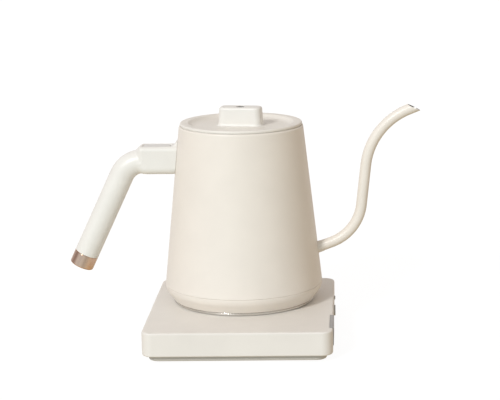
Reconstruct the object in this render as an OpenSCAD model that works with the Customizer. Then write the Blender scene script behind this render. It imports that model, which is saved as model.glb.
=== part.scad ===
// Gooseneck electric kettle standing on its square power base.
// X runs from the handle to the spout, Y runs across and Z is up. The origin is the
// middle of the base, on the surface that its feet stand on. Millimetres.

/* [Power base] */
// Width of the base, along the spout
base_w = 150; // [145:1:170]
// Depth of the base
base_d = 170; // [165:1:190]
// Height of the base, feet included
base_h = 25.1; // [24:0.1:30]
// Radius of the base's upright corners
base_r = 9; // [7:0.5:12]
// Distance of the kettle's axis behind the middle of the base
kettle_y = 21; // [14:1:22]
// Radius of the cord's way through the gland
gland_bore_r = 3.6; // [3:0.1:4.2]

/* [Controls] */
// Width of the display window, along the base's side
display_w = 37.5; // [30:0.5:40]
// Radius of the round push button
button_r = 4.5; // [3.5:0.1:5]
// Height of the push button above the base's side
button_proud = 1.3; // [1:0.1:2]
// Travel of the push button
button_travel = 0.5; // [0.3:0.1:0.6]
// Travel of the small hold switch
hold_travel = 3; // [2:0.5:4]

/* [Kettle body] */
// Outer radius of the body at its bottom seam
body_r_low = 65.3; // [65:0.1:67]
// Outer radius of the body at its mouth
body_r_top = 51; // [50.8:0.1:51.5]
// Height of the bottom seam above the base
seam_z = 15.2; // [14:0.1:17]
// Height of the mouth above the base
mouth_z = 147; // [146:0.5:150]
// Thickness of the body's steel
wall = 1; // [0.8:0.1:1]
// Radius of the foot ring under the body
foot_r = 58.8; // [58:0.1:59.2]

/* [Spout] */
// Outer radius of the spout tube
spout_r = 4.5; // [4.4:0.1:5]
// Thickness of the spout tube
spout_wall = 0.8; // [0.6:0.1:1]
// Radius of the low bend, at the tube's middle
low_bend_r = 38.6; // [34:0.2:40]
// Length of the straight riser between the bends
riser_len = 33.3; // [24:0.1:36]
// Radius of the high bend, at the tube's middle
high_bend_r = 56.8; // [54:0.2:62]

/* [Handle] */
// Radius of the round grip
grip_r = 10; // [9.5:0.1:11]
// Length of the grip below the bend, end cap included
grip_len = 85; // [80:1:92]
// Angle of the grip from upright
grip_angle = 25.5; // [20:0.5:28]
// Height of the arm that holds the grip
arm_h = 23.3; // [22.5:0.1:25]
// Width of the arm
arm_w = 22; // [21:0.5:23]
// Length of the metal end cap
cap_len = 11.5; // [9:0.5:14]

/* [Lid] */
// Width of the knob, along the spout
knob_w = 36; // [30:1:38]
// Depth of the knob
knob_d = 16; // [14:0.5:20]
// Height of the knob above the lid's dish
knob_h = 15.3; // [13:0.1:18]
// Turn of the knob from the spout's line
knob_turn = -7.5; // [-15:0.5:15]
// Radius of the vent through the knob
vent_r = 3.7; // [3:0.1:4]

/* [Hidden] */
$fn = 96;
small_fn = 32;      // segments on screws, pins and rounded corners
eps = 0.01;         // overshoot of a cut
skin = 2.2;         // thickness of the base's plastic shell
gap = 0.3;          // space between pieces that move past each other
fit = 0.05;         // radial space around a pin or a screw
lap = 0.5;          // overlap that joins the lengths of the spout
step = 0.02;        // extra radius on its straight lengths, so that each joint is clean

// Base, measured up from the floor
foot_h = 0.8;
shell_low_z = 5.6;
skirt_z = shell_low_z - 0.4;
cover_top_z = shell_low_z + 2;
cover_inset = 5;
foot_x = base_w / 2 - 19;
foot_y = base_d / 2 - 18;
screw_x = base_w / 2 - 11;
screw_y = base_d / 2 - 40;
board_z = 10;
side_x = base_w / 2;
side_mid_z = (base_h + shell_low_z) / 2;

// Controls along the base's right side
display_y = -base_d / 2 + 12.5 + display_w / 2;
display_proud = 0.6;
display_lap = 2.6;
button_y = 14;
hold_y = 54;
hold_w = 5;
hold_h = 2.4;
hold_proud = 0.9;
gland_x = -40;
gland_r = 6.5;
gland_rim = 0.9;
gland_out = 1.5;
gland_z = 15.2;

// Connector between the base and the kettle, measured up from the base's top
plug_r = 16.5;
plug_h = 10.3;
plug_flange_r = 24;
socket_r = 22;
socket_low_z = 1.2;
socket_top_z = plug_h + gap;
socket_h = 12.4;
ring_contacts = [12.5, 7];
ring_contact_w = 0.8;
pin_contact_r = 2.3;

// Kettle body
body_slope = (body_r_low - body_r_top) / (mouth_z - seam_z);
seam_gap = 0.3;
ring_low_z = 2.6;
ring_bulge = ((body_r_low - foot_r - 0.4) ^ 2 + (seam_z - ring_low_z) ^ 2)
    / (2 * (body_r_low - foot_r - 0.4));
ring_wall = 2.2;
floor_z = 19;
floor_t = 1.2;
spreader_t = 2.5;
spreader_z = floor_z - spreader_t;
element_ring_r = 40;
element_r = 4;
probe_x = 30;
probe_r = 3;
probe_h = 4;
seal_r = 5;
neck_z = 144.2;
neck_r = 46.5;
neck_depth = 8;
under_screw_r = 53.4;

// Spout, in the plane through the body's axis
root_angle = 20.4;
riser_angle = 83.5;
tip_angle = 22;
low_bend_start = [73.8, 47.4];
low_bend_mid = low_bend_start + low_bend_r * [-sin(root_angle), cos(root_angle)];
riser_start = low_bend_mid + low_bend_r * [sin(riser_angle), -cos(riser_angle)];
riser_end = riser_start + riser_len * [cos(riser_angle), sin(riser_angle)];
high_bend_mid = riser_end + high_bend_r * [sin(riser_angle), -cos(riser_angle)];
tip_start = high_bend_mid + high_bend_r * [-sin(tip_angle), cos(tip_angle)];
tip_len = 12;
tip_cut_at = 5;
tip_cut_angle = 42;
collar_back = 14.5;
collar_len = 6;

// Handle, in the same plane
arm_mid_z = 118.75;
arm_end_x = -87;
shoulder_x = -84;
shoulder_drop = 4.4;
bend_mid = [-81.5, 97.3];
grip_bore = 7.5;
core_r = grip_bore - 0.1;
core_bore = 5.5;
cap_spigot = 14;
arm_low_z = arm_mid_z - arm_h / 2;
arm_top_z = arm_mid_z + arm_h / 2;
bend_r = arm_low_z + grip_r - bend_mid[1];
arm_wall = 2.5;
thumb_x = [-81, -58];
thumb_w = 14;
thumb_depth = 1.2;
arm_screw_x = [-74.5, -64];
arm_corner_r = 6;
fillet_x = -57;
tongue_end_x = -79;

// Lid
lid_r = body_r_top - wall - gap;
lip_z = 149.7;
dish_z = 146.8;
dish_r = 33;
cove_w = 10;
cove_h = 2.65;
lip_in_r = 45;
lid_floor_z = 145;
lid_low_z = neck_z + gap;
cup_r = 44.5;
cup_low_z = 128;
cup_wall = 1;
gasket_r = neck_r - gap;
gasket_z = 139;
gasket_h = 2.5;
knob_screw_x = 11;

// ---- shared forms ----

// The kettle's own frame: its axis is Z and the base's top is Z = 0
module on_base() {
    translate([0, kettle_y, base_h]) children();
}

// Rectangle with round corners, about the origin
module round_rect(w, d, r) {
    union() {
        square([w - 2 * r, d], center = true);
        square([w, d - 2 * r], center = true);
        for (x = [-1, 1], y = [-1, 1])
            translate([x * (w / 2 - r), y * (d / 2 - r)]) circle(r, $fn = small_fn);
    }
}

// Flat slab with round upright corners, from z up to z + h
module slab(w, d, r, z, h) {
    translate([0, 0, z]) linear_extrude(h) round_rect(w, d, r);
}

// Upright tube or disc about the origin
module ring(r_out, r_in, z, h) {
    translate([0, 0, z]) difference() {
        cylinder(r = r_out, h = h);
        if (r_in > 0) translate([0, 0, -1]) cylinder(r = r_in, h = h + 2);
    }
}

// Something at each corner of a rectangle
module at_corners(x, y) {
    for (i = [-1, 1], j = [-1, 1]) translate([i * x, j * y, 0]) children();
}

// Something at three even places round the axis
module in_threes(r) {
    for (a = [30, 150, 270]) rotate([0, 0, a]) translate([r, 0, 0]) children();
}

// Screw standing on its head: the head starts at z and the shank goes up
module screw(z, head_r, head_h, shank_r, shank_h) {
    translate([0, 0, z]) difference() {
        union() {
            cylinder(r = head_r, h = head_h, $fn = small_fn);
            cylinder(r = shank_r, h = head_h + shank_h, $fn = small_fn);
        }
        translate([0, 0, -eps]) cylinder(r = head_r * 0.45, h = head_h * 0.6, $fn = 6);
    }
}

// Points out along +X from the base's right side
module out_right(y, z) {
    translate([side_x, y, z]) rotate([0, 90, 0]) children();
}

// ---- power base ----

module base_form() {
    soft = 1.6;
    hull() {
        slab(base_w - 2, base_d - 2, base_r - 1, shell_low_z, 1);
        slab(base_w, base_d, base_r, shell_low_z + 1.2, base_h - shell_low_z - 1.2 - soft);
        slab(base_w - 1, base_d - 1, base_r - 0.5, base_h - soft, soft * 0.65);
        slab(base_w - 2 * soft, base_d - 2 * soft, base_r - soft, base_h - 1, 1);
    }
}

module base_top_shell() {
    color("linen") difference() {
        union() {
            difference() {
                base_form();
                slab(base_w - 2 * skin, base_d - 2 * skin, base_r - skin,
                    shell_low_z - eps, base_h - skin - shell_low_z + eps);
            }
            at_corners(screw_x, screw_y)
                ring(3.2, 0, cover_top_z + 0.2, base_h - skin - cover_top_z - 0.2 + eps);
        }
        at_corners(screw_x, screw_y) translate([0, 0, 6])
            cylinder(r = 1.5, h = 10, $fn = small_fn);
        translate([0, kettle_y, base_h - skin - 1]) cylinder(r = plug_r + 0.2, h = skin + 2);
        display_solid(gap / 2);
        out_right(button_y, side_mid_z) translate([0, 0, -5]) cylinder(r = button_r + gap, h = 9);
        translate([side_x - 5, hold_y - hold_w / 2 - gap, side_mid_z - hold_h / 2 - gap])
            cube([9, hold_w + hold_travel + 2 * gap, hold_h + 2 * gap]);
        translate([gland_x, base_d / 2 + 1, gland_z]) rotate([90, 0, 0])
            cylinder(r = gland_r, h = skin + 2);
    }
}

// Shallow tray that closes the base, with bosses for its screws and posts for the board
module base_bottom_cover() {
    inset = 2 * cover_inset;
    tray_wall = 2 * skin + 6;
    color("silver") difference() {
        union() {
            difference() {
                union() {
                    hull() {
                        slab(base_w - inset - 3, base_d - inset - 3, base_r - 2, foot_h, 1);
                        slab(base_w - inset, base_d - inset, base_r - 1,
                            foot_h + 1.4, skirt_z - foot_h - 1.4);
                    }
                    slab(base_w - inset - 4, base_d - inset - 4, base_r - 2,
                        skirt_z - eps, cover_top_z - skirt_z + eps);
                    slab(base_w - 2 * skin - 0.4, base_d - 2 * skin - 0.4, base_r - skin,
                        shell_low_z + 0.3, cover_top_z - shell_low_z - 0.3);
                }
                slab(base_w - inset - tray_wall, base_d - inset - tray_wall, base_r - 4,
                    foot_h + skin, cover_top_z - foot_h);
            }
            at_corners(screw_x, screw_y) ring(5.5, 0, foot_h + 1, cover_top_z - foot_h - 1);
            at_corners(40, 30) translate([0, -12, 0]) ring(3, 0, foot_h + 1, board_z - foot_h - 1);
        }
        at_corners(foot_x, foot_y) translate([0, 0, foot_h - 1]) cylinder(r = 6.1, h = 1.8);
        at_corners(screw_x, screw_y) cylinder(r = 3, h = 4, $fn = small_fn);
        at_corners(screw_x, screw_y) cylinder(r = 1.7, h = 9, $fn = small_fn);
    }
}

module base_feet() {
    color("dimgray") at_corners(foot_x, foot_y) cylinder(r = 6, h = foot_h + 0.8);
}

module base_screws() {
    color("gray") at_corners(screw_x, screw_y) screw(2, 2.8, 2, 1.45, 10);
}

// Male half of the round connector: it stands up through the base's top
module base_connector() {
    low = -skin - 2.2;
    color("whitesmoke") on_base() difference() {
        union() {
            ring(plug_flange_r, 0, low, 2.2);
            ring(plug_r, 0, low, plug_h - low - 1);
            translate([0, 0, plug_h - 1 - eps]) cylinder(r1 = plug_r, r2 = plug_r - 1, h = 1);
        }
        for (r = ring_contacts) ring(r + 1.6, r - 1.6, low + 2.4, plug_h + 5);
        translate([0, 0, low + 2.4]) cylinder(r = 3, h = plug_h + 5, $fn = small_fn);
        for (r = concat(ring_contacts, [0])) rotate([0, 0, 10]) translate([r, 0, low - 1])
            cylinder(r = 0.8, h = 9, $fn = small_fn);
    }
}

module base_contacts() {
    low = -skin - 2.2;
    color("goldenrod") on_base() {
        for (r = ring_contacts) {
            rotate_extrude(angle = 20) translate([r + 0.8, low + 2.4]) square([0.7, 8]);
            rotate([0, 0, 10]) translate([r, 0, low - 4])
                cylinder(r = 0.75, h = 6.4, $fn = small_fn);
            rotate([0, 0, 10]) translate([r - 0.2, -1.5, low + 2.4]) cube([1.2, 3, 0.6]);
        }
        translate([0, 0, low - 4]) cylinder(r = 0.75, h = 6.4, $fn = small_fn);
        translate([0, 0, low + 2.4]) cylinder(r = 2.2, h = 0.8, $fn = small_fn);
    }
}

module control_board() {
    color("darkgreen") translate([0, -12, board_z]) difference() {
        slab(92, 72, 2, 0, 1.6);
        at_corners(40, 30) translate([0, 0, -1]) cylinder(r = 1.6, h = 4, $fn = small_fn);
        translate([0, kettle_y + 12, -1]) cylinder(r = 20, h = 4);
    }
}

// Relay, transformer and capacitors on the board
module board_components() {
    top = board_z + 1.6;
    color("steelblue") {
        translate([-38, -36, top]) cube([15, 12, 8.5]);
        translate([-16, -40, top]) cube([18, 16, 8]);
        for (x = [10, 22, 34]) translate([x, -34, top]) cylinder(r = 4, h = 8, $fn = small_fn);
    }
}

module terminal_block() {
    color("seagreen") translate([-39, -6, board_z + 1.6]) difference() {
        cube([9, 21, 8]);
        for (i = [0:2]) translate([-1, 3.5 + 7 * i, 4]) rotate([0, 90, 0])
            cylinder(r = 1.8, h = 12, $fn = small_fn);
    }
}

// Bushing where the mains lead goes in at the back
module cord_gland() {
    color("dimgray") translate([gland_x, base_d / 2, gland_z]) rotate([90, 0, 0]) difference() {
        union() {
            translate([0, 0, -gland_out]) cylinder(r = gland_r + gland_rim, h = gland_out - 0.05);
            translate([0, 0, -gland_out]) cylinder(r = gland_r - fit, h = gland_out + 8);
            translate([0, 0, skin + 0.1]) cylinder(r = gland_r + gland_rim, h = 3);
        }
        translate([0, 0, -5]) cylinder(r = gland_bore_r, h = 20);
    }
}

// Window that wraps over the base's upper edge, grown by a margin for its cut-out
module display_solid(grow) {
    low_z = shell_low_z + 5;
    translate([side_x - 1.4 - grow, display_y - display_w / 2 - grow, low_z - grow])
        cube([1.4 + display_proud + 2 * grow, display_w + 2 * grow, base_h - low_z + 2 * grow]);
    translate([side_x - display_lap - grow, display_y - display_w / 2 - grow, base_h - 1.4 - grow])
        cube([display_lap + display_proud + 2 * grow, display_w + 2 * grow, 1.4 + 2 * grow]);
}

module display_window() {
    color("dimgray") intersection() {
        display_solid(0);
        translate([side_x - 10, display_y, base_h - 20]) rotate([90, 0, 0])
            translate([0, 0, -display_w / 2]) linear_extrude(display_w) union() {
                square([10 + display_proud, 19]);
                square([10 + display_proud - 1, 20]);
                translate([9 + display_proud, 19]) circle(1, $fn = small_fn);
            }
    }
}

module display_module() {
    color("darkslategray")
        translate([side_x - 7.5, display_y - display_w / 2 + 3, shell_low_z + 4.5])
            cube([4.2, display_w - 6, 11]);
}

module button_switch() {
    color("black") out_right(button_y, side_mid_z) {
        translate([0, 0, -9.2 - gap - button_travel]) rotate([0, 0, 45])
            cylinder(r = 5.5, h = 3, $fn = 4);
        translate([0, 0, -11.2 - gap - button_travel]) cylinder(r = 3, h = 2.2, $fn = small_fn);
    }
}

module hold_switch() {
    color("black") translate([side_x - 9, hold_y - 5, side_mid_z - 3.5]) difference() {
        cube([5.4, 10 + hold_travel, 7]);
        translate([2.4, 2.3, 2.1]) cube([4, 5.4 + hold_travel, 2.8]);
    }
}

// Round push button: a cap on a stem, with a collar that keeps it in the shell
module power_button() {
    color("dimgray") out_right(button_y, side_mid_z) {
        translate([0, 0, -3.2]) cylinder(r = button_r, h = 3.2 + button_proud - 0.5);
        translate([0, 0, button_proud - 0.5]) cylinder(r1 = button_r, r2 = button_r - 0.5, h = 0.5);
        translate([0, 0, -3.6]) cylinder(r = button_r + 1.2, h = 0.8);
        translate([0, 0, -6.2]) cylinder(r = 1.4, h = 3, $fn = small_fn);
    }
}

module hold_slider() {
    color("dimgray") {
        translate([side_x - 6, hold_y - hold_w / 2, side_mid_z - hold_h / 2])
            cube([6 + hold_proud, hold_w, hold_h]);
        translate([side_x - 3.3, hold_y - hold_w / 2 - 2, side_mid_z - hold_h / 2 - 1.2])
            cube([0.8, hold_w + 4, hold_h + 2.4]);
    }
}

// ---- connector in the kettle's underside ----

module kettle_connector() {
    color("gainsboro") on_base() difference() {
        ring(socket_r, 0, socket_low_z, socket_h - socket_low_z);
        ring(plug_r + 0.7, 0, socket_low_z - 1, socket_top_z - socket_low_z + 1);
        for (r = ring_contacts) ring(r + ring_contact_w / 2, r - ring_contact_w / 2,
            socket_top_z - 1, 2);
        cylinder(r = pin_contact_r, h = socket_top_z + 1, $fn = small_fn);
    }
}

module kettle_contacts() {
    color("goldenrod") on_base() {
        for (r = ring_contacts)
            ring(r + ring_contact_w / 2, r - ring_contact_w / 2, 2.6, socket_top_z + 1 - 2.6);
        translate([0, 0, 1]) cylinder(r1 = 1.3, r2 = pin_contact_r, h = 1.2, $fn = small_fn);
        translate([0, 0, 2.2]) cylinder(r = pin_contact_r, h = socket_top_z + 1 - 2.2, $fn = small_fn);
    }
}

// ---- kettle body ----

function body_r(z) = body_r_low - (z - seam_z) * body_slope;

// Solid inside the body's outer face, grown by a margin
module body_solid(grow) {
    rotate_extrude() polygon([[0, seam_z], [body_r(seam_z) + grow, seam_z],
        [body_r(mouth_z) + grow, mouth_z], [0, mouth_z]]);
}

module spout_root_cut(r) {
    translate([low_bend_start[0], 0, low_bend_start[1]]) rotate([0, 90 - root_angle, 0])
        translate([0, 0, -40]) cylinder(r = r, h = 40);
}

module kettle_shell() {
    color("antiquewhite") on_base() difference() {
        rotate_extrude() union() {
            polygon([[body_r(seam_z) - wall, seam_z], [body_r(seam_z), seam_z],
                [body_r(mouth_z - 0.5), mouth_z - 0.5], [body_r(mouth_z - 0.5) - wall, mouth_z - 0.5]]);
            translate([body_r(mouth_z - 0.5) - wall / 2, mouth_z - 0.5]) circle(wall / 2, $fn = small_fn);
        }
        spout_root_cut(spout_r - spout_wall);
    }
}

// Ledge and collar inside the mouth, where the lid rests and its gasket seals
module neck_ring() {
    ledge_r = body_r(neck_z) - wall - 0.05;
    color("silver") on_base() rotate_extrude() union() {
        translate([neck_r, neck_z - 1]) square([ledge_r - neck_r, 1]);
        translate([neck_r, neck_z - neck_depth]) square([1, neck_depth]);
    }
}

// The spout's route as a round bar: straight, bend, riser, bend, straight
module spout_path(r) {
    translate([low_bend_start[0], 0, low_bend_start[1]]) rotate([0, 90 - root_angle, 0])
        translate([0, 0, -24]) cylinder(r = r + step, h = 24 + lap);
    translate([low_bend_mid[0], 0, low_bend_mid[1]]) rotate([90, 0, 0])
        rotate([0, 0, root_angle - 90]) rotate_extrude(angle = riser_angle - root_angle)
            translate([low_bend_r, 0]) circle(r);
    translate([riser_start[0], 0, riser_start[1]]) rotate([0, 90 - riser_angle, 0])
        translate([0, 0, -lap]) cylinder(r = r + step, h = riser_len + 2 * lap);
    translate([high_bend_mid[0], 0, high_bend_mid[1]]) rotate([90, 0, 0])
        rotate([0, 0, tip_angle + 90]) rotate_extrude(angle = riser_angle - tip_angle)
            translate([high_bend_r, 0]) circle(r);
    translate([tip_start[0], 0, tip_start[1]]) rotate([0, 90 - tip_angle, 0])
        translate([0, 0, -lap]) cylinder(r = r + step, h = tip_len);
}

// Bent tube, cut to the body at its root and slantwise at its mouth
module spout() {
    color("antiquewhite") on_base() difference() {
        spout_path(spout_r);
        spout_path(spout_r - spout_wall);
        body_solid(0.02);
        translate([tip_start[0], 0, tip_start[1]]) rotate([0, 90 - tip_angle, 0])
            translate([0, 0, tip_cut_at]) rotate([0, -tip_cut_angle, 0])
                translate([-20, -10, 0]) cube([40, 20, 20]);
    }
}

module spout_collar() {
    color("antiquewhite") on_base() difference() {
        translate([low_bend_start[0], 0, low_bend_start[1]]) rotate([0, 90 - root_angle, 0])
            translate([0, 0, -collar_back]) union() {
                cylinder(r = spout_r + 0.7, h = collar_len);
                translate([0, 0, collar_len]) cylinder(r1 = spout_r + 0.7, r2 = spout_r + 0.3, h = 0.6);
            }
        spout_root_cut(spout_r + step + 0.02);
        body_solid(0.02);
    }
}

// Rounded plastic ring that carries the parts under the floor
module lower_ring() {
    mid_r = body_r_low - ring_bulge;
    color("antiquewhite") on_base() difference() {
        union() {
            rotate_extrude() union() {
                difference() {
                    intersection() {
                        translate([mid_r, seam_z]) circle(ring_bulge, $fn = 2 * $fn);
                        translate([50, ring_low_z]) square([30, seam_z - seam_gap - ring_low_z]);
                    }
                    translate([mid_r, seam_z]) circle(ring_bulge - ring_wall, $fn = 2 * $fn);
                }
                translate([51, ring_low_z]) square([7, 1.8]);
                translate([61.4, seam_z - 3]) square([2.2, 4.6]);
            }
            in_threes(under_screw_r) ring(3, 0, ring_low_z + 1, 8);
        }
        in_threes(under_screw_r) cylinder(r = 1.25, h = 11, $fn = small_fn);
    }
}

// Silicone ring between the lower ring and the kettle's floor
module seam_seal() {
    color("dimgray") on_base() ring(63.4, 61.6, seam_z + 1.7, floor_z - seam_z - 1.75);
}

module trim_ring() {
    color("silver") on_base() rotate_extrude() union() {
        translate([foot_r - 2.2, gap + 0.4]) square([2.2, ring_low_z - gap - 0.45]);
        translate([foot_r - 1.8, gap]) square([1.4, 0.5]);
        for (r = [foot_r - 0.4, foot_r - 1.8])
            translate([r, gap + 0.4]) circle(0.4, $fn = small_fn);
    }
}

module bottom_plate() {
    color("silver") on_base() difference() {
        ring(body_r(floor_z + floor_t) - wall - 0.04, 0, floor_z, floor_t);
        translate([probe_x, 0, floor_z - 1]) cylinder(r = seal_r, h = 5, $fn = small_fn);
    }
}

module heat_spreader() {
    color("lightgray") on_base() difference() {
        ring(50, 0, spreader_z, spreader_t);
        translate([probe_x, 0, spreader_z - 1]) cylinder(r = seal_r + 1.6, h = 5, $fn = small_fn);
    }
}

// Sheathed element under the spreader, with its two cold ends
module heating_element() {
    z = spreader_z - element_r;
    color("gray") on_base() {
        rotate([0, 0, 15]) rotate_extrude(angle = 330) translate([element_ring_r, z])
            circle(element_r, $fn = small_fn);
        for (a = [15, 345]) rotate([0, 0, a]) translate([element_ring_r, 0, z - 6])
            cylinder(r = 1.6, h = 6, $fn = small_fn);
    }
}

module thermal_cutout() {
    color("black") on_base() for (a = [90, 210]) rotate([0, 0, a])
        translate([29.5, 0, spreader_z - 6]) union() {
            cylinder(r = 5, h = 6, $fn = small_fn);
            translate([-6, -2, 0]) cube([12, 4, 1]);
        }
}

module temperature_probe() {
    color("silver") on_base() translate([probe_x, 0, 0]) {
        translate([0, 0, floor_z - 9]) cylinder(r = probe_r, h = 9 + floor_t + probe_h, $fn = small_fn);
        translate([0, 0, floor_z + floor_t + probe_h]) sphere(r = probe_r, $fn = small_fn);
    }
}

module probe_seal() {
    color("whitesmoke") on_base() translate([probe_x, 0, 0]) difference() {
        union() {
            translate([0, 0, floor_z + floor_t]) cylinder(r = seal_r + 1.5, h = 1, $fn = small_fn);
            translate([0, 0, floor_z - 0.1]) cylinder(r = seal_r - fit, h = floor_t + 0.2, $fn = small_fn);
            translate([0, 0, floor_z - 1]) cylinder(r = seal_r + 1.5, h = 1 - 0.05, $fn = small_fn);
        }
        translate([0, 0, floor_z - 2]) cylinder(r = probe_r + 0.02, h = 6, $fn = small_fn);
    }
}

module underside_cover() {
    color("gainsboro") on_base() difference() {
        union() {
            ring(foot_r - 2.5, socket_r + 0.4, socket_low_z, ring_low_z - 0.05 - socket_low_z);
            ring(socket_r + 2, socket_r + 0.4, socket_low_z, 9);
        }
        in_threes(under_screw_r) cylinder(r = 1.5, h = 5, $fn = small_fn);
        in_threes(under_screw_r) cylinder(r = 2.7, h = socket_low_z + 1.1, $fn = small_fn);
    }
}

module underside_screws() {
    color("gray") on_base() in_threes(under_screw_r) screw(socket_low_z + 0.05, 2.5, 1, 1.2, 6);
}

// ---- handle ----

// Frame in the middle of the bend: the grip starts on its X axis and runs along -Y
module at_bend() {
    translate([bend_mid[0], 0, bend_mid[1]]) rotate([90, 0, 0])
        rotate([0, 0, 180 - grip_angle]) mirror([0, 1, 0]) children();
}

// Frame at the top of the grip: Z runs down the grip to its end
module down_grip() {
    at_bend() translate([bend_r, 0, 0]) rotate([90, 0, 0]) children();
}

// The bend and the straight grip below it, as one round bar
module grip_path(r, h) {
    at_bend() {
        rotate_extrude(angle = 90 - grip_angle) translate([bend_r, 0]) circle(r);
        translate([bend_r, 0, 0]) rotate([90, 0, 0]) cylinder(r = r, h = h);
    }
}

module arm_bar(w, h, r, x0, x1) {
    translate([x0, 0, arm_mid_z]) rotate([90, 0, 90]) linear_extrude(x1 - x0) round_rect(w, h, r);
}

// Hollow plastic arm and grip in one, with a small fillet up the body. The arm's
// underside runs on into the bend, and its top slopes down to it.
module handle_shell() {
    color("whitesmoke") on_base() difference() {
        union() {
            difference() {
                arm_bar(arm_w, arm_h, arm_corner_r, arm_end_x, -40);
                translate([0, arm_w, 0]) rotate([90, 0, 0]) linear_extrude(2 * arm_w)
                    polygon([[shoulder_x, arm_top_z + 1], [shoulder_x, arm_top_z],
                        [arm_end_x - 1, arm_top_z - shoulder_drop], [arm_end_x - 1, arm_top_z + 1]]);
            }
            grip_path(grip_r, grip_len - cap_len);
            translate([0, 8, 0]) rotate([90, 0, 0]) linear_extrude(16)
                polygon([[fillet_x, arm_top_z - 1], [fillet_x, arm_top_z],
                    [fillet_x + 5, arm_top_z + 4.2], [fillet_x + 5, arm_top_z - 1]]);
        }
        arm_bar(arm_w - 2 * arm_wall, arm_h - 2 * arm_wall, 2.5, bend_mid[0] - 1, -39);
        grip_path(grip_bore, grip_len);
        body_solid(0.1);
        thumb_pad(thumb_x[1] - thumb_x[0], thumb_w, 4, 6);
        for (x = arm_screw_x) translate([x, 0, arm_low_z - 1]) {
            cylinder(r = 3, h = 2.5, $fn = small_fn);
            cylinder(r = 1.7, h = 5, $fn = small_fn);
        }
    }
}

// Slab with round corners that starts at the floor of the thumb recess
module thumb_pad(w, d, r, h) {
    translate([(thumb_x[0] + thumb_x[1]) / 2, 0, 0]) slab(w, d, r, arm_top_z - thumb_depth, h);
}

module thumb_inlay() {
    color("lightgray") on_base()
        thumb_pad(thumb_x[1] - thumb_x[0] - 0.2, thumb_w - 0.2, 3.9, thumb_depth - 0.15);
}

// Steel saddle on the body with a tongue that the arm is screwed to
module handle_bracket() {
    tongue_z = arm_low_z + arm_wall + 0.05;
    color("silver") on_base() difference() {
        union() {
            intersection() {
                body_solid(1.8);
                translate([-70, -7.5, arm_mid_z - 8]) cube([30, 15, 16]);
            }
            translate([tongue_end_x, -5.5, tongue_z]) cube([28, 11, 2.4]);
        }
        body_solid(0.04);
        for (x = arm_screw_x) translate([x, 0, tongue_z - 1]) cylinder(r = 1.5, h = 5, $fn = small_fn);
    }
}

module handle_core() {
    color("silver") on_base() down_grip() ring(core_r, core_bore, 3, grip_len - cap_len - 4);
}

module handle_screws() {
    color("gray") on_base() for (x = arm_screw_x) translate([x, 0, 0])
        screw(arm_low_z + 0.2, 2.7, 1.25, 1.45, 5.5);
}

module handle_end_cap() {
    soft = 1.2;
    color("peru") on_base() down_grip() translate([0, 0, grip_len - cap_len]) {
        rotate_extrude() union() {
            translate([0, 0.1]) square([grip_r, cap_len - soft - 0.1]);
            square([grip_r - soft, cap_len]);
            translate([grip_r - soft, cap_len - soft]) circle(soft, $fn = small_fn);
        }
        translate([0, 0, -cap_spigot]) cylinder(r = core_bore - 0.1, h = cap_spigot + 1);
    }
}

// ---- lid ----

// The knob's own frame, turned on the kettle's axis
module on_knob() {
    on_base() rotate([0, 0, knob_turn]) children();
}

// Dished lid with a round lip. Its cove and its rounding are drawn in short steps.
module lid_top() {
    soft = 1.6;
    lip_curve = [for (a = [90:-15:0]) [lid_r - soft + soft * cos(a), lip_z - soft + soft * sin(a)]];
    color("antiquewhite") on_knob() difference() {
        rotate_extrude() polygon(concat(
            [[0, lid_floor_z], [0, dish_z]],
            [for (t = [0:0.2:1]) [dish_r + cove_w * t, dish_z + cove_h * t ^ 2]],
            [[lip_in_r, lip_z]],
            lip_curve,
            [[lid_r, lid_low_z], [lid_r - 2 * soft, lid_low_z], [lid_r - 2 * soft, lid_floor_z]]));
        translate([0, 0, lid_floor_z - 1]) cylinder(r = vent_r, h = 4);
        for (x = [-1, 1]) translate([x * knob_screw_x, 0, lid_floor_z - 1])
            cylinder(r = 1.6, h = 4, $fn = small_fn);
    }
}

// Steel cup under the lid, with the groove that holds the gasket
module lid_cup() {
    color("silver") on_knob() difference() {
        union() {
            ring(cup_r, cup_r - cup_wall, cup_low_z, lid_floor_z - cup_low_z);
            ring(cup_r, 0, cup_low_z, cup_wall);
            for (z = [gasket_z - 0.8, gasket_z + gasket_h + 0.1]) ring(cup_r + 1.1, cup_r - 0.5, z, 0.7);
        }
        translate([0, 0, cup_low_z - 1]) cylinder(r = vent_r, h = 4);
        for (a = [0:60:300]) rotate([0, 0, a]) translate([14, 0, cup_low_z - 1])
            cylinder(r = 1.2, h = 4, $fn = small_fn);
    }
}

module lid_gasket() {
    color("whitesmoke") on_base() ring(gasket_r, cup_r + 0.08, gasket_z, gasket_h);
}

// Steam way from the cup's floor up to the knob
module vent_tube() {
    color("silver") on_base() difference() {
        ring(vent_r + 1, 0, cup_low_z + cup_wall, lid_floor_z - cup_low_z - cup_wall);
        translate([0, 0, cup_low_z - 1]) cylinder(r = vent_r, h = 30);
    }
}

module lid_knob() {
    top_z = dish_z + knob_h;
    color("antiquewhite") on_knob() difference() {
        hull() {
            slab(knob_w + 1, knob_d + 0.8, 5, dish_z, 0.6);
            slab(knob_w - 0.2, knob_d, 4.8, dish_z + 2.5, 1);
            slab(knob_w - 1, knob_d - 0.4, 4.6, top_z - 2.4, 0.6);
            slab(knob_w - 2, knob_d - 1.4, 4.2, top_z - 1, 0.3);
            slab(knob_w - 4, knob_d - 3.4, 3.2, top_z - 0.2, 0.2);
        }
        translate([0, 0, dish_z - 1]) cylinder(r = vent_r, h = knob_h + 2);
        for (x = [-1, 1]) translate([x * knob_screw_x, 0, dish_z - 1])
            cylinder(r = 1.4, h = 9, $fn = small_fn);
    }
}

module lid_screws() {
    color("gray") on_knob() for (x = [-1, 1]) translate([x * knob_screw_x, 0, 0])
        screw(lid_floor_z - 1.5, 2.8, 1.45, 1.35, 8);
}

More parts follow.
